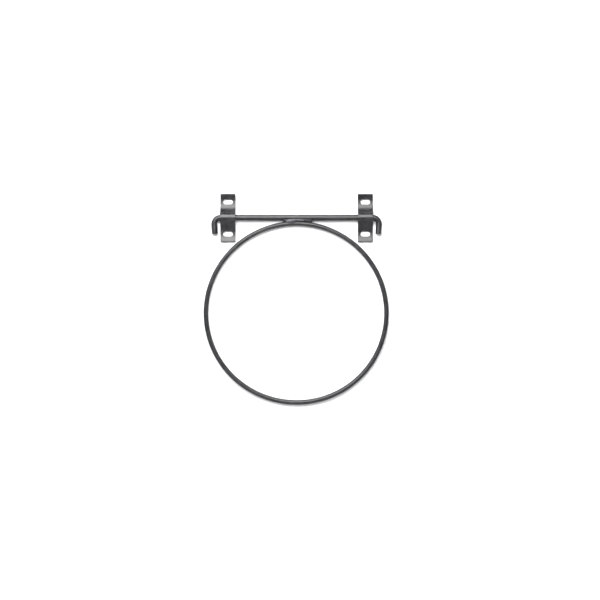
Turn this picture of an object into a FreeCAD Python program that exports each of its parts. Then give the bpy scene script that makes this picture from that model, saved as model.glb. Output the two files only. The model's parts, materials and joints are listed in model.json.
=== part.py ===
"""Wall hoop that folds flat: a rod ring welded under a pivot bar that turns in two saddle straps.

Millimetres, +Z up. The wall is the plane Y = 0 and the hoop hangs in front of it, towards -Y.
The origin is on the wall, midway between the straps and level with the pivot bar, so it is
also the centre of the four screw slots.
"""

import FreeCAD
import Part

import os
from math import asin, cos, degrees, radians, sin, sqrt

from FreeCAD import Vector

# --- Driving dimensions -------------------------------------------------------------------

# Pivot bar: round rod with both ends bent down as hooks, which keep it in the straps.
BAR_DIAMETER = 10.0
BAR_STANDOFF = 5.5  # wall to the bar's axis, so the bar turns just clear of the wall
BEND_RADIUS = 10.0  # of the axis of each bent end
BEND_ANGLE = 94.0  # a little over square, so the hooks lean in
HOOK_DROP = 27.0  # bar axis to the hooks' sawn ends
SAWN_CHAMFER = 0.8

# Hoop ring: round rod rolled to a circle. It touches the underside of the bar.
RING_OUTER_DIAMETER = 305.0
RING_ROD_DIAMETER = 8.0

# Welds: one bead in the groove between ring and bar, front and rear.
WELD_LENGTH = 50.0
WELD_BEAD_DIAMETER = 5.0
WELD_SETBACK = 2.6  # bead's axis to the plane of the ring
WELD_END_DROP = 1.0  # how far the bead's ends bend down with the ring

# Saddle straps: flat strip bent over the bar, its troughs and slots against the wall.
STRAP_WIDTH = 25.0
STRAP_THICKNESS = 3.0
STRAP_HALF_HEIGHT = 39.6  # to the end of the strip's mid line
STRAP_SPACING = 227.0  # centre to centre
CREST_CLEARANCE = 0.5  # between the bar and the arch's crest
ARCH_RADIUS = 9.0  # strip's mid line, a little wider than the bar
FLANK_ANGLE = 48.0  # of the short straight flanks to the wall
TROUGH_RADIUS = 24.0  # strip's mid line, from flank to pad
PAD_LENGTH = 3.0  # flat that touches the wall
END_CURL_RADIUS = 30.0  # strip's mid line, where the ends lift off the wall
STRAP_CORNER_RADIUS = 1.2
STRAP_EDGE_RADIUS = 0.5

# Screw slots, across the strip.
SLOT_LENGTH = 16.0
SLOT_WIDTH = 8.0
SLOT_SPACING = 53.0  # upper slot to lower slot

# --- Derived places ------------------------------------------------------------------------

BAR_RADIUS = BAR_DIAMETER / 2
BAR_BEND_START = (STRAP_SPACING + STRAP_WIDTH) / 2  # the bends begin at the straps' outer edges
RING_ROD_RADIUS = RING_ROD_DIAMETER / 2
RING_MEAN_RADIUS = RING_OUTER_DIAMETER / 2 - RING_ROD_RADIUS
RING_CENTRE_Z = -(BAR_RADIUS + RING_OUTER_DIAMETER / 2)
STRAP_RISE = BAR_STANDOFF + BAR_RADIUS + CREST_CLEARANCE  # pad to crest, along one face

X_AXIS = Vector(1, 0, 0)
Y_AXIS = Vector(0, 1, 0)


def from_wall(x, z, distance):
    """A point at the given distance in front of the wall."""
    return Vector(x, -distance, z)


# --- Pivot bar ------------------------------------------------------------------------------


def hook_points(side):
    """Bend start, bend middle, bend end and tip of one hook's axis; side is -1 or 1."""

    def on_bend(angle):
        x = BAR_BEND_START + BEND_RADIUS * sin(radians(angle))
        z = BEND_RADIUS * (cos(radians(angle)) - 1)
        return from_wall(side * x, z, BAR_STANDOFF)

    start, middle, end = on_bend(0), on_bend(BEND_ANGLE / 2), on_bend(BEND_ANGLE)
    lean = radians(BEND_ANGLE - 90)
    leg = (HOOK_DROP + end.z) / cos(lean)
    tip = end + Vector(-side * sin(lean), 0, -cos(lean)) * leg
    return start, middle, end, tip


def make_pivot_bar():
    left_start, left_middle, left_end, left_tip = hook_points(-1)
    right_start, right_middle, right_end, right_tip = hook_points(1)
    path = Part.Wire(
        [
            Part.LineSegment(left_tip, left_end).toShape(),
            Part.Arc(left_end, left_middle, left_start).toShape(),
            Part.LineSegment(left_start, right_start).toShape(),
            Part.Arc(right_start, right_middle, right_end).toShape(),
            Part.LineSegment(right_end, right_tip).toShape(),
        ]
    )
    section = Part.Wire([Part.makeCircle(BAR_RADIUS, left_tip, left_end - left_tip)])
    bar = path.makePipeShell([section], True, False)
    sawn_rims = [
        edge
        for edge in bar.Edges
        if min((edge.CenterOfMass - tip).Length for tip in (left_tip, right_tip)) < 0.1
    ]
    return bar.makeChamfer(SAWN_CHAMFER, sawn_rims)


# --- Hoop ring and welds -----------------------------------------------------------------------


def make_hoop_ring():
    centre = from_wall(0, RING_CENTRE_Z, BAR_STANDOFF)
    return Part.makeTorus(RING_MEAN_RADIUS, RING_ROD_RADIUS, centre, Y_AXIS)


def make_weld(setback):
    """A round-ended bead along the groove; setback is positive in front of the ring's plane."""
    bead_radius = WELD_BEAD_DIAMETER / 2
    half_run = WELD_LENGTH / 2 - bead_radius
    groove_z = -BAR_RADIUS
    distance = BAR_STANDOFF + setback
    left = from_wall(-half_run, groove_z - WELD_END_DROP, distance)
    middle = from_wall(0, groove_z, distance)
    right = from_wall(half_run, groove_z - WELD_END_DROP, distance)
    run = Part.Arc(left, middle, right).toShape()
    section = Part.Wire([Part.makeCircle(bead_radius, left, run.tangentAt(run.FirstParameter))])
    bead = Part.Wire([run]).makePipeShell([section], True, False)
    rounded_ends = [Part.makeSphere(bead_radius, end) for end in (left, right)]
    return bead.fuse(rounded_ends).removeSplitter()


# --- Saddle straps --------------------------------------------------------------------------------


def strap_bends():
    """The strip's mid line from the lower end up, as (length, turn in degrees) runs."""
    flank = radians(FLANK_ANGLE)
    bent_radii = ARCH_RADIUS + TROUGH_RADIUS
    flank_length = (STRAP_RISE - bent_radii * (1 - cos(flank))) / sin(flank)
    pad_start = bent_radii * sin(flank) + flank_length * cos(flank)
    curl = asin((STRAP_HALF_HEIGHT - pad_start - PAD_LENGTH) / END_CURL_RADIUS)
    lower_half = [
        (END_CURL_RADIUS * curl, degrees(curl)),
        (PAD_LENGTH, 0.0),
        (TROUGH_RADIUS * flank, FLANK_ANGLE),
        (flank_length, 0.0),
    ]
    arch = [(ARCH_RADIUS * 2 * flank, -2 * FLANK_ANGLE)]
    return lower_half + arch + lower_half[::-1]


def strap_face(x):
    """The strip's cross-section in the plane X = x, as a closed face."""
    runs = strap_bends()
    first_curl = radians(runs[0][1])
    place = from_wall(
        x, -STRAP_HALF_HEIGHT, STRAP_THICKNESS / 2 + END_CURL_RADIUS * (1 - cos(first_curl))
    )
    heading = -first_curl  # 0 points up the wall, positive turns away from it
    edges = {"back": [], "front": []}
    offsets = {"back": -STRAP_THICKNESS / 2, "front": STRAP_THICKNESS / 2}

    def beside(point, direction, offset):
        return point + Vector(0, -cos(direction), -sin(direction)) * offset

    def move(point, direction, length):
        return point + Vector(0, -sin(direction), cos(direction)) * length

    for length, turn_degrees in runs:
        turn = radians(turn_degrees)
        if turn:
            chord = 2 * length / turn * sin(turn / 2)
            half_chord = 2 * length / turn * sin(turn / 4)
            middle = move(place, heading + turn / 4, half_chord)
            end = move(place, heading + turn / 2, chord)
        else:
            end = move(place, heading, length)
        for side, offset in offsets.items():
            first = beside(place, heading, offset)
            last = beside(end, heading + turn, offset)
            if turn:
                between = beside(middle, heading + turn / 2, offset)
                edges[side].append(Part.Arc(first, between, last).toShape())
            else:
                edges[side].append(Part.LineSegment(first, last).toShape())
        place, heading = end, heading + turn

    def joined(side_edge, other_edge, vertex):
        first, last = side_edge.Vertexes[vertex].Point, other_edge.Vertexes[vertex].Point
        return Part.LineSegment(first, last).toShape()

    lower_end = joined(edges["back"][0], edges["front"][0], 0)
    upper_end = joined(edges["back"][-1], edges["front"][-1], -1)
    outline = Part.sortEdges(edges["back"] + [upper_end] + edges["front"] + [lower_end])[0]
    return Part.Face(Part.Wire(outline))


def make_slot_cutter(x, z):
    """A round-ended slot across the strip, right through it."""
    depth = 3 * STRAP_RISE
    half_straight = (SLOT_LENGTH - SLOT_WIDTH) / 2
    start = Vector(x, STRAP_RISE, z)
    ends = [
        Part.makeCylinder(SLOT_WIDTH / 2, depth, start + X_AXIS * shift, -Y_AXIS)
        for shift in (-half_straight, half_straight)
    ]
    corner = start + Vector(-half_straight, -depth, -SLOT_WIDTH / 2)
    straight = Part.makeBox(2 * half_straight, depth, SLOT_WIDTH, corner)
    return straight.fuse(ends).removeSplitter()


def make_strap(x):
    """One saddle strap, centred on the plane X = x."""
    strip = strap_face(x - STRAP_WIDTH / 2).extrude(X_AXIS * STRAP_WIDTH)
    corners = [
        edge
        for edge in strip.Edges
        if abs(abs(edge.CenterOfMass.z) - STRAP_HALF_HEIGHT) < STRAP_THICKNESS / 2
        and abs(edge.Length - STRAP_THICKNESS) < 0.01
    ]
    strip = strip.makeFillet(STRAP_CORNER_RADIUS, corners)
    long_edges = [
        edge
        for face in strip.Faces
        if abs(abs(face.CenterOfMass.x - x) - STRAP_WIDTH / 2) < 0.01
        for edge in face.Edges
        if abs(edge.Length - STRAP_THICKNESS) > 0.01
    ]
    strip = strip.makeFillet(STRAP_EDGE_RADIUS, long_edges)
    for z in (-SLOT_SPACING / 2, SLOT_SPACING / 2):
        strip = strip.cut(make_slot_cutter(x, z))
    return strip


# --- Parts ----------------------------------------------------------------------------------------

PARTS = {
    "hoop_ring": make_hoop_ring(),
    "pivot_bar": make_pivot_bar(),
    "weld_front": make_weld(WELD_SETBACK),
    "weld_rear": make_weld(-WELD_SETBACK),
    "left_bracket": make_strap(-STRAP_SPACING / 2),
    "right_bracket": make_strap(STRAP_SPACING / 2),
}

os.makedirs("parts", exist_ok=True)
for node, shape in PARTS.items():
    solid = shape.Solids[0]
    box = solid.BoundBox
    print(
        f"{node}: {len(shape.Solids)} solid, valid {solid.isValid()}, {solid.Volume:.0f} mm3,"
        f" X {box.XMin:.1f} to {box.XMax:.1f}, Y {box.YMin:.1f} to {box.YMax:.1f},"
        f" Z {box.ZMin:.1f} to {box.ZMax:.1f}"
    )
    solid.exportStep(f"parts/{node}.step")
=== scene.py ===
"""Looks of the folding wall hoop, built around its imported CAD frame.

Each CAD node is replaced by a finer mesh of the same size in the same place: rods swept with
their bends slightly flattened, straps cut flat and then bent, and weld beads built up from
overlapping ripples. The wall is the plane Y = 0 and the hoop hangs in front of it, towards -Y.
"""

import json
import random
from math import asin, cos, hypot, pi, radians, sin, sqrt, tau

import bmesh
import bpy
from mathutils import Matrix, Vector


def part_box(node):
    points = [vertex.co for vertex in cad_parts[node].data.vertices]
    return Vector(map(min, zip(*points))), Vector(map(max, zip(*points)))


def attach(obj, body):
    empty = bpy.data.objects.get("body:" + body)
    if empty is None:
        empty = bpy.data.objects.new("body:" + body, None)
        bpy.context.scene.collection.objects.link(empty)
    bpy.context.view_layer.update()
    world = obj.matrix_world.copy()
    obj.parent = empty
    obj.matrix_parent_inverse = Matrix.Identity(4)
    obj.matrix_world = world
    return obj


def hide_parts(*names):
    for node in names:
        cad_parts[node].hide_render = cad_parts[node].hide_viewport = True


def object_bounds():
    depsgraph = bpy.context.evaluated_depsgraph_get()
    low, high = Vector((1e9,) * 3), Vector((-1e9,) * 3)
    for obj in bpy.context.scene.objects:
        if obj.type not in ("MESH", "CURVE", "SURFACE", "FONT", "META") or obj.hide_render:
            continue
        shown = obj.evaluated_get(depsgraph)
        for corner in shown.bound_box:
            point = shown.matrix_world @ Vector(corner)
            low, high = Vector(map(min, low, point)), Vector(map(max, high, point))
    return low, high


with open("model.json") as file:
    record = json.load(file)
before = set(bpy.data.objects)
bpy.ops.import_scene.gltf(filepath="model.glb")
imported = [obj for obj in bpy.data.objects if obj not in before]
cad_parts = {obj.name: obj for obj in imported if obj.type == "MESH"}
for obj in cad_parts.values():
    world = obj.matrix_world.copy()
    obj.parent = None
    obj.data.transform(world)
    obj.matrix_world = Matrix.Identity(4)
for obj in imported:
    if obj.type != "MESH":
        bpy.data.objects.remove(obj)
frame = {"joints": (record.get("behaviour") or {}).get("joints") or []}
cad_low, cad_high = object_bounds()

MM = 0.001
SAME_PLACE = 0.001 * MM  # meshes keep places only about this exactly

# --- Sizes read from the frame, in metres -----------------------------------------------------

hinge = frame["joints"][0]
AXIS_Y = hinge["pos_m"][1]
AXIS_Z = hinge["pos_m"][2]

ring_low, ring_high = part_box("hoop_ring")
RING_ROD_RADIUS = (ring_high.y - ring_low.y) / 2
RING_RADIUS = (ring_high.z - ring_low.z) / 2 - RING_ROD_RADIUS
RING_CENTRE = Vector((0, AXIS_Y, (ring_high.z + ring_low.z) / 2))

bar_low, bar_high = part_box("pivot_bar")
BAR_RADIUS = (bar_high.y - bar_low.y) / 2
HOOK_OUTSIDE_X = bar_high.x

strap_low, strap_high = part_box("right_bracket")
STRAP_WIDTH = strap_high.x - strap_low.x
STRAP_X = (strap_high.x + strap_low.x) / 2

# --- Sizes of the bent and rounded details -------------------------------------------------------

BEND_RADIUS = 10 * MM  # axis of the hooks' bends
BEND_ANGLE = radians(94)
HOOK_DROP = 27 * MM
SAWN_ROUNDING = 0.8 * MM
BEND_FLATTENING = 0.04  # share of the radius that a bend loses across its plane

RING_OFFSET = -0.6 * MM  # the ring was welded on a little off the bar's middle
RING_GAP = 0.5 * MM  # left between ring and bar when they were welded
RING_SPREAD = 0.45 * MM  # the ring is slightly oval, wider by this on each side
RING_LIFT = 1.6 * MM  # and shorter by this
RING_WAVE = 0.25 * MM  # its radius wavers by this, three times round
RING_WAVE_PHASE = 0.6
RING_WARP = 0.3 * MM  # and it leaves its plane by this, twice round
RING_WARP_PHASE = 1.1
RING_THINNING = 0.008  # share of its thickness that rolling takes in the plane

STRAP_THICKNESS = 3 * MM
STRAP_RISE = -strap_low.y - STRAP_THICKNESS  # pad to crest, along one face
ARCH_RADIUS = 9 * MM
FLANK_ANGLE = radians(48)
TROUGH_RADIUS = 24 * MM
PAD_LENGTH = 3 * MM
END_CURL_RADIUS = 30 * MM
STRAP_HALF_HEIGHT = 39.6 * MM
STRAP_CORNER_RADIUS = 1.2 * MM
STRAP_EDGE_RADIUS = 0.45 * MM
SLOT_Z = 26.5 * MM
SLOT_LENGTH = 16 * MM
SLOT_WIDTH = 8 * MM

# --- Wear, from 0 for sound paint to 1 for bright steel -------------------------------------------

RING_WEAR = 0.12
RING_BOTTOM_WEAR = 0.35
RING_BOTTOM_REACH = 0.9  # radians either way from the lowest point
BAR_WEAR = 0.08
BAR_IN_STRAP_WEAR = 0.45
BAR_BEND_WEAR = 0.12
BAR_TIP_WEAR = 0.5
BAR_TIP_REACH = 3 * MM
SAWN_RIM_WEAR = 0.75
SAWN_FACE_WEAR = 0.35
STRAP_WEAR = 0.1
STRAP_RIM_WEAR = 0.58
STRAP_RIM_REACH = 1.6 * MM
STRAP_ARCH_WEAR = 0.2
STRAP_ARCH_REACH = 9 * MM
BEAD_WEAR = 0.22


# --- Materials -----------------------------------------------------------------------------------


class Nodes:
    """Short forms for adding and wiring shader nodes."""

    def __init__(self, tree):
        self.tree = tree

    def add(self, kind, **settings):
        node = self.tree.nodes.new(kind)
        for key, value in settings.items():
            setattr(node, key, value)
        return node

    def feed(self, socket, value):
        if isinstance(value, bpy.types.NodeSocket):
            self.tree.links.new(value, socket)
        else:
            socket.default_value = value

    def maths(self, operation, first, second):
        node = self.add("ShaderNodeMath", operation=operation)
        self.feed(node.inputs[0], first)
        self.feed(node.inputs[1], second)
        return node.outputs[0]

    def noise(self, vector, scale, detail=2.0, roughness=0.5):
        node = self.add("ShaderNodeTexNoise")
        self.feed(node.inputs["Vector"], vector)
        self.feed(node.inputs["Scale"], scale)
        self.feed(node.inputs["Detail"], detail)
        self.feed(node.inputs["Roughness"], roughness)
        return node.outputs["Fac"]

    def scaled(self, vector, factors):
        node = self.add("ShaderNodeMapping")
        self.feed(node.inputs["Vector"], vector)
        self.feed(node.inputs["Scale"], factors)
        return node.outputs["Vector"]

    def ramp(self, value, low, high, out_low=0.0, out_high=1.0):
        node = self.add("ShaderNodeMapRange", interpolation_type="SMOOTHSTEP")
        for socket_name, given in (
            ("Value", value),
            ("From Min", low),
            ("From Max", high),
            ("To Min", out_low),
            ("To Max", out_high),
        ):
            self.feed(node.inputs[socket_name], given)
        return node.outputs["Result"]

    def blend(self, share, first, second):
        node = self.add("ShaderNodeMix", data_type="RGBA")
        self.feed(node.inputs["Factor"], share)
        self.feed(node.inputs["A"], first)
        self.feed(node.inputs["B"], second)
        return node.outputs["Result"]

    def bump(self, height, distance, strength, under=None):
        node = self.add("ShaderNodeBump")
        self.feed(node.inputs["Height"], height)
        self.feed(node.inputs["Distance"], distance)
        self.feed(node.inputs["Strength"], strength)
        if under is not None:
            self.feed(node.inputs["Normal"], under)
        return node.outputs["Normal"]


# Textures of the paint, as features for each metre of the stock.
MOTTLE_SCALE = 90.0
SPECK_SCALE = 1500.0
RUB_SCALE = 420.0
PEEL_SCALE = 620.0
DRAWN_LINE_SCALES = (14.0, 900.0, 900.0)  # long along the stock, fine across it

# Heights of the paint's relief.
DRAWN_LINE_HEIGHT = 0.04 * MM
PEEL_HEIGHT = 0.12 * MM
SPECK_HEIGHT = 0.03 * MM
PAINT_THICKNESS = 0.05 * MM

# Bright metal shows where the rub pattern, raised by this share of the wear, passes from one
# level to the other.
RUB_FROM_WEAR = 0.62
RUB_STARTS = 0.84
RUB_COMPLETE = 1.04

# How far the surface's roughness strays from the paint's own.
MOTTLE_ROUGHNESS = 0.05
GRAIN_ROUGHNESS = 0.14
RUBBED_POLISH = 0.08

BLACK_PAINT = (0.011, 0.011, 0.0122)
WELD_BLACK = (0.021, 0.020, 0.0245)  # thinner paint over the burnt, bluish bead
BURNISHED_STEEL = (0.10, 0.098, 0.096, 1.0)
BURNISHED_METALLIC = 0.6


def satin_paint(name, paint, orange_peel, drawn_lines, roughness):
    """Satin black stove paint on steel: orange peel, faint drawn lines and rubbed edges.

    Meshes carry two attributes: "flow" holds each point's place on the straight, unbent stock,
    its first number along the stock, and "wear" is 1 where hands and fits rub the paint.
    """
    material = bpy.data.materials.new(name)
    material.use_nodes = True
    n = Nodes(material.node_tree)
    shader = material.node_tree.nodes["Principled BSDF"]

    flow = n.add("ShaderNodeAttribute", attribute_name="flow").outputs["Vector"]
    wear = n.add("ShaderNodeAttribute", attribute_name="wear").outputs["Fac"]

    mottle = n.noise(flow, MOTTLE_SCALE, detail=3.0)
    specks = n.noise(flow, SPECK_SCALE, roughness=0.6)
    rub_pattern = n.noise(flow, RUB_SCALE, detail=4.0, roughness=0.65)
    rub_level = n.maths("ADD", n.maths("MULTIPLY", wear, RUB_FROM_WEAR), rub_pattern)
    rubbed = n.ramp(rub_level, RUB_STARTS, RUB_COMPLETE)

    lighter = tuple(min(1.0, channel * 1.7 + 0.004) for channel in paint) + (1.0,)
    coat_colour = n.blend(n.ramp(mottle, 0.35, 0.7), paint + (1.0,), lighter)
    n.feed(shader.inputs["Base Color"], n.blend(rubbed, coat_colour, BURNISHED_STEEL))
    n.feed(shader.inputs["Metallic"], n.maths("MULTIPLY", rubbed, BURNISHED_METALLIC))

    smoothest = roughness - MOTTLE_ROUGHNESS
    roughest = roughness + MOTTLE_ROUGHNESS
    uneven = n.ramp(mottle, 0.3, 0.7, smoothest, roughest)
    grain = n.maths("MULTIPLY", n.maths("SUBTRACT", specks, 0.5), GRAIN_ROUGHNESS)
    polish = n.maths("MULTIPLY", rubbed, RUBBED_POLISH)
    n.feed(shader.inputs["Roughness"], n.maths("SUBTRACT", n.maths("ADD", uneven, grain), polish))
    shader.inputs["IOR"].default_value = 1.5

    lines = n.noise(n.scaled(flow, DRAWN_LINE_SCALES), 1.0, detail=3.0, roughness=0.6)
    peel = n.noise(flow, PEEL_SCALE, roughness=0.45)
    normal = n.bump(lines, DRAWN_LINE_HEIGHT, drawn_lines)
    normal = n.bump(peel, PEEL_HEIGHT, orange_peel, under=normal)
    normal = n.bump(specks, SPECK_HEIGHT, 0.35, under=normal)
    normal = n.bump(rubbed, -PAINT_THICKNESS, 0.5, under=normal)
    n.feed(shader.inputs["Normal"], normal)
    return material


strap_paint = satin_paint(
    "strap_paint", BLACK_PAINT, orange_peel=0.5, drawn_lines=0.35, roughness=0.32
)
bar_paint = satin_paint(
    "bar_paint", BLACK_PAINT, orange_peel=0.45, drawn_lines=0.5, roughness=0.34
)
ring_paint = satin_paint(
    "ring_paint", BLACK_PAINT, orange_peel=0.45, drawn_lines=0.6, roughness=0.34
)
weld_paint = satin_paint(
    "weld_paint", WELD_BLACK, orange_peel=0.9, drawn_lines=0.0, roughness=0.36
)


# --- Pieces from meshes -------------------------------------------------------------------------


def add_piece(name, mesh, material, node, body):
    """Shows the mesh in place of a CAD node, riding on that node's body."""
    piece = bpy.data.objects.new(name, mesh)
    bpy.context.scene.collection.objects.link(piece)
    mesh.materials.clear()
    mesh.materials.append(material)
    mesh.shade_smooth()
    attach(piece, body)
    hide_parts(node)
    return piece


def set_surface_data(mesh, flows, wears):
    """Stores the places on the unbent stock and the wear that satin_paint reads."""
    flow = mesh.attributes.new("flow", "FLOAT_VECTOR", "POINT")
    flow.data.foreach_set("vector", [c for place in flows for c in place])
    wear = mesh.attributes.new("wear", "FLOAT", "POINT")
    wear.data.foreach_set("value", wears)


def bell(distance, width):
    """1 at distance 0, falling smoothly to 0 at the width."""
    share = min(1.0, abs(distance) / width)
    return (1 + cos(pi * share)) / 2


# --- Rods ------------------------------------------------------------------------------------------


class Station:
    """One cross-section of a rod that lies in the hoop's plane."""

    def __init__(self, centre, heading, run, across, deep, wear):
        self.centre = centre
        self.outward = Vector((-heading.z, 0, heading.x))  # in the plane, square to the rod
        self.run = run  # length along the rod
        self.across = across  # half width in the hoop's plane
        self.deep = deep  # half width through the plane
        self.wear = wear


RING_SIDES = 44
RING_STATIONS = 400
BAR_SIDES = 48
RIM_STEPS = 5  # round the rim of each sawn end
SAWN_FACE_RINGS = (0.75, 0.5, 0.25, 0.06)  # shares of the sawn face's radius


def rod_mesh(name, stations, sides, closed):
    """Sweeps the rod's section through its stations; an open rod gets flat closed ends."""
    corners, flows, wears, faces = [], [], [], []
    for station in stations:
        for side in range(sides):
            turn = tau * side / sides
            across = station.across * cos(turn)
            deep = station.deep * sin(turn)
            corners.append(station.centre + station.outward * across + Vector((0, deep, 0)))
            flows.append((station.run, across, deep))
            wears.append(station.wear)
    count = len(stations)
    for i in range(count if closed else count - 1):
        here = i * sides
        ahead = ((i + 1) % count) * sides
        for side in range(sides):
            next_side = (side + 1) % sides
            faces.append((here + side, here + next_side, ahead + next_side, ahead + side))
    if not closed:
        faces.append(tuple(range(sides))[::-1])
        faces.append(tuple((count - 1) * sides + side for side in range(sides)))
    mesh = bpy.data.meshes.new(name)
    mesh.from_pydata(corners, [], faces)
    set_surface_data(mesh, flows, wears)
    bm = bmesh.new()
    bm.from_mesh(mesh)
    bmesh.ops.recalc_face_normals(bm, faces=bm.faces)
    bm.to_mesh(mesh)
    bm.free()
    return mesh


def ring_stations(count):
    """Round the ring from its top, with the small unevenness that rolling leaves."""
    stations = []
    for i in range(count):
        angle = tau * i / count
        away_from_top = (1 - cos(angle)) / 2
        radius = RING_RADIUS + RING_WAVE * away_from_top * sin(3 * angle + RING_WAVE_PHASE)
        warp = RING_WARP * away_from_top * sin(2 * angle + RING_WARP_PHASE)
        centre = RING_CENTRE + Vector((radius * sin(angle), warp, radius * cos(angle)))
        centre.x += RING_OFFSET + RING_SPREAD * sin(angle)
        centre.z += RING_LIFT * away_from_top - RING_GAP
        at_bottom = bell(angle - pi, RING_BOTTOM_REACH)
        stations.append(
            Station(
                centre,
                heading=Vector((cos(angle), 0, -sin(angle))),
                run=min(angle, tau - angle) * RING_RADIUS,  # both ways round, so textures meet
                across=RING_ROD_RADIUS * (1 - RING_THINNING),
                deep=RING_ROD_RADIUS,
                wear=RING_WEAR + RING_BOTTOM_WEAR * at_bottom,
            )
        )
    return stations


def bar_stations():
    """From the left hook's tip to the right hook's tip."""
    bend_start = HOOK_OUTSIDE_X - BEND_RADIUS - BAR_RADIUS
    lean = BEND_ANGLE - pi / 2
    bend_end_z = BEND_RADIUS * (cos(BEND_ANGLE) - 1)
    leg = (HOOK_DROP + bend_end_z) / cos(lean)
    bend = BEND_RADIUS * BEND_ANGLE
    half_length = bend_start + bend + leg

    def place(run):
        """Centre, heading and share of bending at a length from the bar's middle."""
        side = 1 if run >= 0 else -1
        distance = abs(run)
        if distance <= bend_start:
            x = distance
            z = 0.0
            angle = 0.0
        elif distance <= bend_start + bend:
            angle = (distance - bend_start) / BEND_RADIUS
            x = bend_start + BEND_RADIUS * sin(angle)
            z = BEND_RADIUS * (cos(angle) - 1)
        else:
            angle = BEND_ANGLE
            along = distance - bend_start - bend
            x = bend_start + BEND_RADIUS * sin(angle) + along * cos(angle)
            z = bend_end_z - along * sin(angle)
        centre = Vector((side * x, AXIS_Y, AXIS_Z + z))
        heading = Vector((cos(angle), 0, -side * sin(angle)))
        return centre, heading, bell(distance - bend_start - bend / 2, bend * 0.75)

    def spread(first, last, step):
        count = max(2, round((last - first) / step))
        return [first + (last - first) * i / count for i in range(count)]

    half = spread(0, bend_start, step=1.6 * MM)
    half += spread(bend_start, bend_start + bend, step=0.55 * MM)
    half += spread(bend_start + bend, half_length - SAWN_ROUNDING, step=0.8 * MM)
    runs = [-run for run in half[:0:-1]] + half
    stations = []
    for run in runs:
        centre, heading, bent = place(run)
        in_strap = bell(abs(run) - STRAP_X, STRAP_WIDTH * 0.6)
        near_tip = bell(half_length - abs(run), BAR_TIP_REACH)
        wear = BAR_WEAR + BAR_IN_STRAP_WEAR * in_strap + BAR_TIP_WEAR * near_tip
        wear += BAR_BEND_WEAR * bent
        stations.append(
            Station(
                centre,
                heading,
                run,
                across=BAR_RADIUS * (1 - BEND_FLATTENING * bent),
                deep=BAR_RADIUS * (1 + BEND_FLATTENING / 2 * bent),
                wear=min(1.0, wear),
            )
        )

    def sawn_end(side):
        """The rounded rim of one sawn end and then its flat face, from the outside in."""
        end = []
        for step in range(1, RIM_STEPS + 1):
            turn = pi / 2 * step / RIM_STEPS
            run = side * (half_length - SAWN_ROUNDING * (1 - sin(turn)))
            centre, heading, _ = place(run)
            radius = BAR_RADIUS - SAWN_ROUNDING * (1 - cos(turn))
            end.append(Station(centre, heading, run, radius, radius, SAWN_RIM_WEAR))
        for share in SAWN_FACE_RINGS:
            run = side * half_length
            centre, heading, _ = place(run)
            radius = (BAR_RADIUS - SAWN_ROUNDING) * share
            end.append(Station(centre, heading, run, radius, radius, SAWN_FACE_WEAR))
        return end

    return sawn_end(-1)[::-1] + stations + sawn_end(1)


add_piece(
    "ring_rod",
    rod_mesh("ring_rod", ring_stations(RING_STATIONS), RING_SIDES, closed=True),
    ring_paint,
    "hoop_ring",
    "hoop",
)
add_piece(
    "pivot_rod",
    rod_mesh("pivot_rod", bar_stations(), BAR_SIDES, closed=False),
    bar_paint,
    "pivot_bar",
    "hoop",
)


# --- Saddle straps ---------------------------------------------------------------------------------


def strap_bends():
    """The strip's mid line from the lower end up, as (length, turn) runs.

    The turn of an end curl and the height at which a pad starts come with them.
    """
    bent_radii = ARCH_RADIUS + TROUGH_RADIUS
    flank = (STRAP_RISE - bent_radii * (1 - cos(FLANK_ANGLE))) / sin(FLANK_ANGLE)
    pad_start = bent_radii * sin(FLANK_ANGLE) + flank * cos(FLANK_ANGLE)
    curl = asin((STRAP_HALF_HEIGHT - pad_start - PAD_LENGTH) / END_CURL_RADIUS)
    lower_half = [
        (END_CURL_RADIUS * curl, curl),
        (PAD_LENGTH, 0.0),
        (TROUGH_RADIUS * FLANK_ANGLE, FLANK_ANGLE),
        (flank, 0.0),
    ]
    arch = [(ARCH_RADIUS * 2 * FLANK_ANGLE, -2 * FLANK_ANGLE)]
    return lower_half + arch + lower_half[::-1], curl, pad_start


STRAP_RUNS, END_CURL, PAD_START = strap_bends()
STRAP_LENGTH = sum(length for length, _ in STRAP_RUNS)
# The slots' centres on the flat blank, which lie on the pads.
SLOT_RUN = STRAP_LENGTH / 2 - STRAP_RUNS[0][0] + (SLOT_Z - PAD_START - PAD_LENGTH)


def bent_place(run):
    """Height, distance from the wall and heading of the mid line at a length from its middle."""
    height = -STRAP_HALF_HEIGHT
    distance = STRAP_THICKNESS / 2 + END_CURL_RADIUS * (1 - cos(END_CURL))
    heading = -END_CURL
    left = run + STRAP_LENGTH / 2
    for index, (length, turn) in enumerate(STRAP_RUNS):
        last = index == len(STRAP_RUNS) - 1
        step = left if last else min(left, length)
        part_turn = turn * step / length
        if part_turn:
            chord = 2 * step / part_turn * sin(part_turn / 2)
        else:
            chord = step
        height += chord * cos(heading + part_turn / 2)
        distance += chord * sin(heading + part_turn / 2)
        heading += part_turn
        left -= step
        if left <= 0 and not last:
            break
    return height, distance, heading


def stadium_point(share):
    """A point on the slot's outline, at a share of its length, from the right and upwards."""
    half_straight = (SLOT_LENGTH - SLOT_WIDTH) / 2
    radius = SLOT_WIDTH / 2
    quarter = pi * radius / 2
    straight = 2 * half_straight
    along = (share % 1) * (4 * quarter + 2 * straight)
    if along < quarter:
        turn = along / radius
        return half_straight + radius * cos(turn), radius * sin(turn)
    along -= quarter
    if along < straight:
        return half_straight - along, radius
    along -= straight
    if along < 2 * quarter:
        turn = pi / 2 + along / radius
        return -half_straight + radius * cos(turn), radius * sin(turn)
    along -= 2 * quarter
    if along < straight:
        return -half_straight + along, -radius
    turn = 3 * pi / 2 + (along - straight) / radius
    return half_straight + radius * cos(turn), radius * sin(turn)


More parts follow.
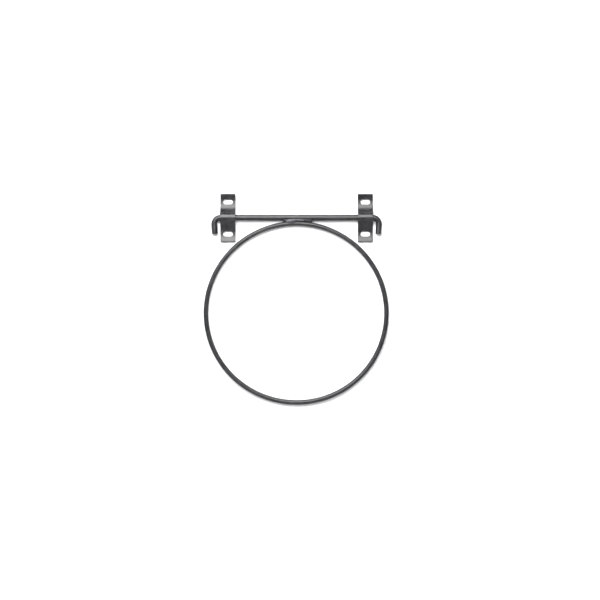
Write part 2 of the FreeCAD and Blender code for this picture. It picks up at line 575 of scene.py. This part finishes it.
def flat_blank():
    """The strip before bending, as a bmesh sheet with its two slots open."""
    half_width = STRAP_WIDTH / 2
    margin = 1.7 * MM  # outer cells wide enough to round the corners and edges in
    patch_half = 7 * MM  # half height of the patch of mesh round each slot
    inner_columns = 20
    end_rows = 4
    bent_rows = 104
    patch_rows = 14
    slot_loops = 5
    columns = [-half_width]
    columns += [
        (half_width - margin) * (2 * i / inner_columns - 1) for i in range(inner_columns + 1)
    ]
    columns.append(half_width)
    bm = bmesh.new()

    def add_row(run):
        return [bm.verts.new((x, run, 0)) for x in columns]

    def bridge(lower, upper):
        for i in range(len(columns) - 1):
            bm.faces.new((lower[i], lower[i + 1], upper[i + 1], upper[i]))

    def plain_rows(first_row, first, last, rows):
        row = first_row
        for i in range(1, rows + 1):
            upper = add_row(first + (last - first) * i / rows)
            bridge(row, upper)
            row = upper
        return row

    def slot_patch(lower, centre):
        """Loops of faces from the slot's outline out to the patch's four sides."""
        upper = add_row(centre + patch_half)
        heights = [
            centre - patch_half + 2 * patch_half * i / patch_rows for i in range(1, patch_rows)
        ]
        right = [bm.verts.new((half_width, h, 0)) for h in heights]
        left = [bm.verts.new((-half_width, h, 0)) for h in heights]
        rim = lower + right + upper[::-1] + left[::-1]
        side_length = 2 * (2 * half_width + 2 * patch_half)

        def rim_share(vert):
            x = vert.co.x
            h = vert.co.y - centre
            if abs(x - half_width) < SAME_PLACE:
                along = h
            elif abs(h - patch_half) < SAME_PLACE:
                along = patch_half + half_width - x
            elif abs(x + half_width) < SAME_PLACE:
                along = 2 * half_width + 2 * patch_half - h
            else:
                along = 3 * patch_half + 3 * half_width + x
            return along / side_length

        loop = rim
        for step in range(1, slot_loops + 1):
            share = step / slot_loops
            inner = []
            for vert in rim:
                x, h = stadium_point(rim_share(vert))
                place = vert.co.lerp(Vector((x, centre + h, 0)), share)
                inner.append(bm.verts.new(place))
            for i in range(len(rim)):
                j = (i + 1) % len(rim)
                bm.faces.new((loop[i], loop[j], inner[j], inner[i]))
            loop = inner
        return upper

    end = STRAP_LENGTH / 2
    row = add_row(-end)
    row = plain_rows(row, -end, -end + margin, 1)
    row = plain_rows(row, -end + margin, -SLOT_RUN - patch_half, end_rows)
    row = slot_patch(row, -SLOT_RUN)
    row = plain_rows(row, -SLOT_RUN + patch_half, SLOT_RUN - patch_half, bent_rows)
    row = slot_patch(row, SLOT_RUN)
    row = plain_rows(row, SLOT_RUN + patch_half, end - margin, end_rows)
    plain_rows(row, end - margin, end, 1)
    bmesh.ops.recalc_face_normals(bm, faces=bm.faces)
    return bm


SHARP_ANGLE = radians(50)  # edges sharper than this get rounded


def thick_blank():
    """The flat strip with its thickness, corners and edges rounded, as a bmesh."""
    bm = flat_blank()
    if sum(face.normal.z for face in bm.faces) < 0:
        bmesh.ops.reverse_faces(bm, faces=bm.faces)
    sheet = bpy.data.meshes.new("strap_sheet")
    bm.to_mesh(sheet)
    bm.free()
    holder = bpy.data.objects.new("strap_sheet", sheet)
    bpy.context.scene.collection.objects.link(holder)
    solid = holder.modifiers.new("thickness", "SOLIDIFY")
    solid.thickness = STRAP_THICKNESS
    solid.offset = 0
    bpy.context.view_layer.update()
    evaluated = holder.evaluated_get(bpy.context.evaluated_depsgraph_get())
    bm = bmesh.new()
    bm.from_mesh(evaluated.to_mesh())
    evaluated.to_mesh_clear()
    bpy.data.objects.remove(holder)
    bpy.data.meshes.remove(sheet)

    corners = [
        edge
        for edge in bm.edges
        if all(
            abs(abs(v.co.x) - STRAP_WIDTH / 2) < SAME_PLACE
            and abs(abs(v.co.y) - STRAP_LENGTH / 2) < SAME_PLACE
            for v in edge.verts
        )
    ]
    bmesh.ops.bevel(
        bm, geom=corners, offset=STRAP_CORNER_RADIUS, segments=5, profile=0.5, affect="EDGES"
    )
    rims = [
        edge
        for edge in bm.edges
        if len(edge.link_faces) == 2 and edge.calc_face_angle() > SHARP_ANGLE
    ]
    bmesh.ops.bevel(
        bm, geom=rims, offset=STRAP_EDGE_RADIUS, segments=3, profile=0.5, affect="EDGES"
    )
    return bm


def rim_distance(x, run):
    """How far a point of the blank lies from its nearest edge, outline or slot."""
    outline = min(STRAP_WIDTH / 2 - abs(x), STRAP_LENGTH / 2 - abs(run))
    beyond = max(0.0, abs(x) - (SLOT_LENGTH - SLOT_WIDTH) / 2)
    slot = hypot(beyond, abs(run) - SLOT_RUN) - SLOT_WIDTH / 2
    return max(0.0, min(outline, slot))


TEXTURE_SHIFT = 0.4  # gives each strap its own stretch of paint texture


def strap_mesh(name, centre_x, shift):
    """One strap: its blank bent over the bar. The shift moves it to fresh paint texture."""
    bm = thick_blank()
    mesh = bpy.data.meshes.new(name)
    bm.to_mesh(mesh)
    bm.free()
    flows, wears = [], []
    for vert in mesh.vertices:
        x, run, out = vert.co
        height, distance, heading = bent_place(run)
        flows.append((run + shift, x, out))
        near_rim = bell(rim_distance(x, run), STRAP_RIM_REACH)
        on_arch = bell(run, STRAP_ARCH_REACH)
        wears.append(STRAP_WEAR + STRAP_RIM_WEAR * near_rim + STRAP_ARCH_WEAR * on_arch)
        vert.co = (
            centre_x + x,
            -(distance + out * cos(heading)),
            height - out * sin(heading),
        )
    set_surface_data(mesh, flows, wears)
    mesh.update()
    return mesh


for side_name, side in (("left", -1), ("right", 1)):
    add_piece(
        f"strap_{side_name}",
        strap_mesh(f"strap_{side_name}", side * STRAP_X, TEXTURE_SHIFT * side),
        strap_paint,
        f"{side_name}_bracket",
        "wall_brackets",
    )


# --- Weld beads --------------------------------------------------------------------------------------


def ring_top_drop(x):
    """How far the ring's outer edge lies below its top at x."""
    outer = RING_RADIUS + RING_ROD_RADIUS
    return outer - sqrt(outer**2 - x**2)


class Deposit:
    """One short run of the bead, laid between two places along the bar."""

    def __init__(self, ends, drops, half_height, depth, bulge, tilt):
        self.ends = [end * MM for end in ends]  # from the bar's middle
        self.drops = [drop * MM for drop in drops]  # of its axis below the bar's, at either end
        self.half_height = half_height * MM
        self.depth = depth * MM  # its axis lies this far out from the ring's plane
        self.bulge = bulge * MM  # and its face this much further
        self.tilt = radians(tilt)  # its face is turned up by this


# The bead was laid in four goes, given in millimetres and degrees: a lean start that faces down,
# a fat run that fills the groove, a ridge along the bar that faces up and a lean finish.
DEPOSITS = [
    Deposit((-20.0, -14.5), (4.9, 5.0), half_height=3.4, depth=1.8, bulge=1.5, tilt=-45),
    Deposit((-16.0, -0.5), (5.8, 4.4), half_height=5.2, depth=2.2, bulge=2.9, tilt=3),
    Deposit((-0.5, 12.0), (3.6, 3.9), half_height=3.2, depth=3.6, bulge=2.2, tilt=34),
    Deposit((10.5, 24.0), (4.6, 4.9), half_height=3.6, depth=1.8, bulge=1.5, tilt=-45),
]
REAR_DEPTH_SHARE = 0.7  # the bead behind is flatter
RIPPLE_STEP = 1.9 * MM
RIPPLE_HALF_LENGTH = 3.1 * MM
RIPPLE_STRAY = 0.2 * MM  # off its place along and up the groove
RIPPLE_DEPTH_STRAY = 0.1 * MM
BEAD_VOXEL = 0.3 * MM


def weld_mesh(name, front, seed):
    """A bead of overlapping ripples in the groove; front is 1 before the ring's plane, -1 behind."""
    chance = random.Random(seed)
    bm = bmesh.new()

    def add_lump(centre, tilt, radii):
        made = bmesh.ops.create_icosphere(bm, subdivisions=3, radius=1.0)
        turned = Matrix.Translation(centre) @ Matrix.Rotation(tilt, 4, "X")
        stretched = turned @ Matrix.Diagonal((*radii, 1.0))
        bmesh.ops.transform(bm, matrix=stretched, verts=made["verts"])

    for deposit in DEPOSITS:
        start, end = deposit.ends
        first_drop, last_drop = deposit.drops
        depth = deposit.depth * (1 if front > 0 else REAR_DEPTH_SHARE)
        ripples = round((end - start) / RIPPLE_STEP)
        for i in range(ripples):
            share = (i + 0.5) / ripples
            drop = first_drop + (last_drop - first_drop) * share
            x = start + (end - start) * share + RIPPLE_STRAY * chance.uniform(-1, 1)
            fatter_middle = 0.8 + 0.2 * sin(pi * share)
            swell = fatter_middle * chance.uniform(0.97, 1.03)
            z = AXIS_Z - drop - ring_top_drop(x) / 2 + RIPPLE_STRAY * chance.uniform(-1, 1)
            y = AXIS_Y - front * (depth + RIPPLE_DEPTH_STRAY * chance.uniform(-1, 1))
            radii = (RIPPLE_HALF_LENGTH, deposit.bulge * swell, deposit.half_height * swell)
            add_lump(Vector((x, y, z)), -front * deposit.tilt, radii)
    mesh = bpy.data.meshes.new(name)
    bm.to_mesh(mesh)
    bm.free()
    holder = bpy.data.objects.new(name + "_lumps", mesh)
    bpy.context.scene.collection.objects.link(holder)
    joined = holder.modifiers.new("joined", "REMESH")
    joined.mode = "VOXEL"
    joined.voxel_size = BEAD_VOXEL
    softened = holder.modifiers.new("softened", "SMOOTH")
    softened.factor = 0.5
    softened.iterations = 4
    bpy.context.view_layer.update()
    evaluated = holder.evaluated_get(bpy.context.evaluated_depsgraph_get())
    bead = bpy.data.meshes.new_from_object(evaluated)
    bead.name = name
    bpy.data.objects.remove(holder)
    # Each bead has its own place in the paint texture, a metre before or behind the bar.
    flows = [(v.co.x, v.co.y + front, v.co.z) for v in bead.vertices]
    set_surface_data(bead, flows, [BEAD_WEAR] * len(bead.vertices))
    return bead


for node, front, seed in (("weld_front", 1, 11), ("weld_rear", -1, 23)):
    place = node.split("_")[1]
    add_piece(
        f"bead_{place}",
        weld_mesh(f"bead_{place}", front, seed),
        weld_paint,
        node,
        "hoop",
    )


# --- Stage, light and camera ------------------------------------------------------------------------


def pale_material(name, colour, clear_from_behind):
    """Matt pale paint. A panel that is clear from behind lets light through as well."""
    material = bpy.data.materials.new(name)
    material.use_nodes = True
    n = Nodes(material.node_tree)
    shader = material.node_tree.nodes["Principled BSDF"]
    output = material.node_tree.nodes["Material Output"]
    shader.inputs["Base Color"].default_value = colour
    shader.inputs["Roughness"].default_value = 0.9
    shader.inputs["Specular IOR Level"].default_value = 0.1
    if clear_from_behind:
        from_behind = n.add("ShaderNodeNewGeometry").outputs["Backfacing"]
        towards_light = n.add("ShaderNodeLightPath").outputs["Is Shadow Ray"]
        mix = n.add("ShaderNodeMixShader")
        n.feed(mix.inputs[0], n.maths("MAXIMUM", from_behind, towards_light))
        n.feed(mix.inputs[1], shader.outputs[0])
        n.feed(mix.inputs[2], n.add("ShaderNodeBsdfTransparent").outputs[0])
        n.feed(output.inputs["Surface"], mix.outputs[0])
    return material


def paper_material(name, grey):
    """Pale paper that glows evenly, so it needs no light of its own."""
    material = bpy.data.materials.new(name)
    material.use_nodes = True
    n = Nodes(material.node_tree)
    glow = n.add("ShaderNodeEmission")
    glow.inputs["Color"].default_value = (grey, grey, grey + 0.01, 1.0)
    n.feed(material.node_tree.nodes["Material Output"].inputs["Surface"], glow.outputs[0])
    return material


def add_panel(name, corners, material, camera_only=False):
    """A flat piece of the stage. One for the camera only neither lights nor shades anything."""
    mesh = bpy.data.meshes.new(name)
    mesh.from_pydata(corners, [], [tuple(range(len(corners)))])
    mesh.materials.append(material)
    panel = bpy.data.objects.new(name, mesh)
    bpy.context.scene.collection.objects.link(panel)
    if camera_only:
        panel.visible_diffuse = False
        panel.visible_glossy = False
        panel.visible_shadow = False


STAGE_REACH = 4.0
WALL_GAP = 0.2 * MM  # from the pads to the wall's face
FLOOR_Z = cad_low.z - 1.2


def upright_corners(start, end):
    """An upright panel from the floor up, between two places in plan."""
    (x1, y1), (x2, y2) = start, end
    return [(x1, y1, FLOOR_Z), (x2, y2, FLOOR_Z), (x2, y2, STAGE_REACH), (x1, y1, STAGE_REACH)]


def level_corners(z):
    """A level panel over the whole stage."""
    return [
        (-STAGE_REACH, -STAGE_REACH, z),
        (STAGE_REACH, -STAGE_REACH, z),
        (STAGE_REACH, STAGE_REACH, z),
        (-STAGE_REACH, STAGE_REACH, z),
    ]


add_panel(
    "wall",
    upright_corners((-STAGE_REACH, WALL_GAP), (STAGE_REACH, WALL_GAP)),
    pale_material("wall_white", (0.86, 0.86, 0.865, 1.0), clear_from_behind=True),
)
add_panel(
    "floor",
    level_corners(FLOOR_Z),
    pale_material("floor_pale", (0.6, 0.6, 0.61, 1.0), clear_from_behind=False),
)

# Paper hung round and above the stage and laid on its floor. It shows only behind a hoop that is
# seen from its back, side, top or underside, and casts neither light nor shadow.
PAPER_GAP = 1 * MM
hung_paper = paper_material("hung_paper", 0.72)
LEFT_FRONT = (-STAGE_REACH, -STAGE_REACH)
RIGHT_FRONT = (STAGE_REACH, -STAGE_REACH)
for paper_name, corners, paper in (
    ("paper_left", upright_corners((-STAGE_REACH, 0), LEFT_FRONT), hung_paper),
    ("paper_front", upright_corners(LEFT_FRONT, RIGHT_FRONT), hung_paper),
    ("paper_right", upright_corners(RIGHT_FRONT, (STAGE_REACH, 0)), hung_paper),
    ("paper_overhead", level_corners(STAGE_REACH), hung_paper),
    ("paper_floor", level_corners(FLOOR_Z + PAPER_GAP), paper_material("floor_paper", 0.62)),
):
    add_panel(paper_name, corners, paper, camera_only=True)


def add_softbox(name, centre, target, width, height, watts):
    """A rectangular light that faces its target."""
    light = bpy.data.lights.new(name, "AREA")
    light.shape = "RECTANGLE"
    light.size = width
    light.size_y = height
    light.energy = watts
    lamp = bpy.data.objects.new(name, light)
    lamp.location = centre
    lamp.rotation_mode = "QUATERNION"
    lamp.rotation_quaternion = (target - centre).to_track_quat("-Z", "Y")
    bpy.context.scene.collection.objects.link(lamp)
    return lamp


LIT_PLACE = Vector((0, AXIS_Y, -0.02))
add_softbox(
    "overhead_softbox",
    Vector((-0.22, -1.1, 0.64)),
    LIT_PLACE,
    width=1.25,
    height=1.0,
    watts=41,
)
front_fill = add_softbox(
    "front_fill",
    Vector((-0.3, -2.5, 0.1)),
    LIT_PLACE,
    width=2.2,
    height=2.2,
    watts=36,
)
front_fill.visible_glossy = False

# This light passes through the wall to the pieces' backs.
add_softbox(
    "back_softbox",
    Vector((0.6, 2.2, 0.5)),
    LIT_PLACE,
    width=1.6,
    height=1.6,
    watts=60,
)

world = bpy.data.worlds.new("studio")
world.use_nodes = True
surroundings = world.node_tree.nodes["Background"]
surroundings.inputs["Color"].default_value = (0.95, 0.97, 1.0, 1.0)
surroundings.inputs["Strength"].default_value = 0.08
bpy.context.scene.world = world
bpy.context.scene.view_settings.view_transform = "Standard"

CAMERA_DISTANCE = 1.6  # to the hoop's plane
FRAME_WIDTH = 0.99  # seen across the hoop's plane
CAMERA_OFFSET = Vector((5.6 * MM, 0, -135.7 * MM))  # from the hinge axis
SENSOR_WIDTH = 36  # in the camera's own millimetres, as its lens

camera_data = bpy.data.cameras.new("camera")
camera_data.sensor_width = SENSOR_WIDTH
camera_data.lens = SENSOR_WIDTH * CAMERA_DISTANCE / FRAME_WIDTH
camera = bpy.data.objects.new("camera", camera_data)
camera.location = Vector((0, AXIS_Y - CAMERA_DISTANCE, AXIS_Z)) + CAMERA_OFFSET
camera.rotation_euler = (pi / 2, 0, 0)
bpy.context.scene.collection.objects.link(camera)
bpy.context.scene.camera = camera
